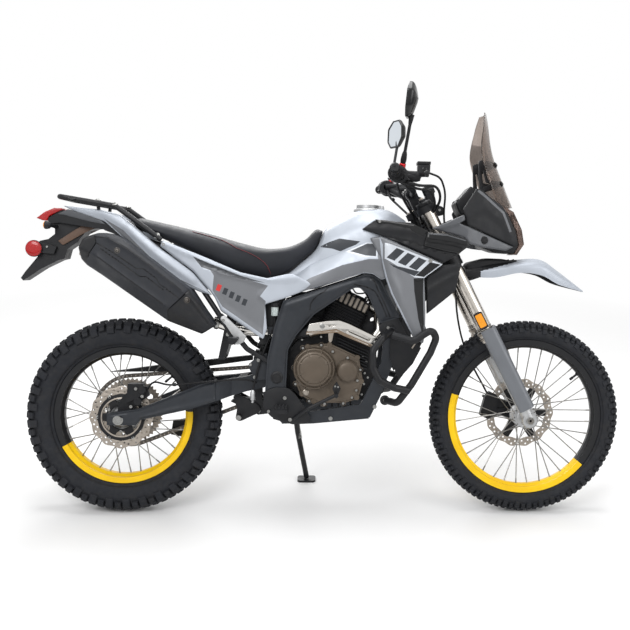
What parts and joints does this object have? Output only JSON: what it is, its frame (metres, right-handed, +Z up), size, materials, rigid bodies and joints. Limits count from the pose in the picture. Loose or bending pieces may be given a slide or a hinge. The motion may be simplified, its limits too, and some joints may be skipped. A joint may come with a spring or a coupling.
{
  "type": "dual sport motorcycle",
  "caption": "Dual sport motorcycle with spoked wheels, tall fender, windscreen, crash bars and rear rack, parked on its side stand.",
  "frame": {"origin": "on the floor, under the middle of the parked machine's bounding box", "axes": "+X forward, +Y to the rider's left, +Z up; the machine leans 10 degrees towards +Y on its side stand"},
  "size_m": [2.133, 0.829, 1.5175],
  "materials": {
    "frame_paint": "satin dark grey paint",
    "engine_black": "satin black engine paint",
    "engine_bronze": "satin bronze paint",
    "chrome_pipe": "polished",
    "black_steel": "matt black paint",
    "bare_aluminium": "satin",
    "polished_tube": "polished",
    "stainless": "brushed",
    "chain_steel": "oiled",
    "silver_body": "silver paint",
    "grey_plastic": "metallic grey",
    "black_plastic": "textured black",
    "seat_cover": "black vinyl",
    "lens_smoke": "smoked clear",
    "lens_red": "red lens",
    "tyre_rubber": "matt black",
    "black_rubber": "matt black",
    "rim_paint": "black with yellow arcs",
    "silver_hub": "cast"
  },
  "bodies": {
    "chassis": {"main_frame": "frame_paint", "subframe": "black_steel", "engine_block": "engine_black", "engine_covers": "engine_bronze", "cylinder": "engine_black", "exhaust_pipe": "chrome_pipe", "muffler": "black_steel", "swingarm": "frame_paint", "rear_axle": "stainless", "rear_suspension": "black_steel", "drive_chain": "chain_steel", "guards": "black_plastic", "rear_caliper": "black_steel", "fuel_tank": "silver_body", "seat": "seat_cover", "side_panels": "silver_body", "rear_fender": "black_plastic", "tail_lights": "lens_red", "rear_rack": "frame_paint", "radiator": "black_steel", "shrouds": "silver_body", "black_trim": "black_plastic", "nose_panels": "grey_plastic", "fairing": "black_plastic", "headlight_lens": "lens_smoke", "windscreen": "lens_smoke", "instrument": "black_plastic", "crash_bars": "frame_paint", "foot_controls": "black_steel"},
    "steered": {"fork_tubes": "polished_tube", "fork_sliders": "polished_tube", "front_axle": "stainless", "fork_guards": "grey_plastic", "triple_clamps": "black_steel", "handlebar": "black_steel", "grips": "black_rubber", "hand_controls": "black_plastic", "mirrors": "black_plastic", "front_fender": "silver_body", "front_caliper": "black_steel", "brake_hoses": "black_rubber"},
    "front_wheel": {"front_tyre": "tyre_rubber", "front_rim": "rim_paint", "front_hub": "silver_hub", "front_disc": "stainless"},
    "rear_wheel": {"rear_tyre": "tyre_rubber", "rear_rim": "rim_paint", "rear_hub": "silver_hub", "rear_disc": "stainless", "rear_sprocket": "stainless"},
    "stand": {"side_stand": "black_steel"},
    "filler_cap": {"fuel_cap": "bare_aluminium"}
  },
  "joints": [
    {"name": "steering", "type": "hinge", "parent": "chassis", "child": "steered", "pos_m": [0.35037, -0.04327, 0.95505], "axis": [-0.4602, 0.1542, 0.8743], "range_deg": [-40, 40]},
    {"name": "front_wheel_spin", "type": "hinge", "parent": "steered", "child": "front_wheel", "pos_m": [0.719, -0.15092, 0.34456], "axis": [0, 0.9848, -0.1736], "continuous": true},
    {"name": "rear_wheel_spin", "type": "hinge", "parent": "chassis", "child": "rear_wheel", "pos_m": [-0.712, -0.15179, 0.33964], "axis": [0, 0.9848, -0.1736], "continuous": true},
    {"name": "side_stand_fold", "type": "hinge", "parent": "chassis", "child": "stand", "pos_m": [-0.112, -0.03563, 0.2958], "axis": [0, 0.9848, -0.1736], "range_deg": [0, 95]},
    {"name": "fuel_cap_lift", "type": "hinge", "parent": "chassis", "child": "filler_cap", "pos_m": [0.19, -0.02103, 1.0812], "axis": [0, 0.9848, -0.1736], "range_deg": [0, 100]}
  ]
}
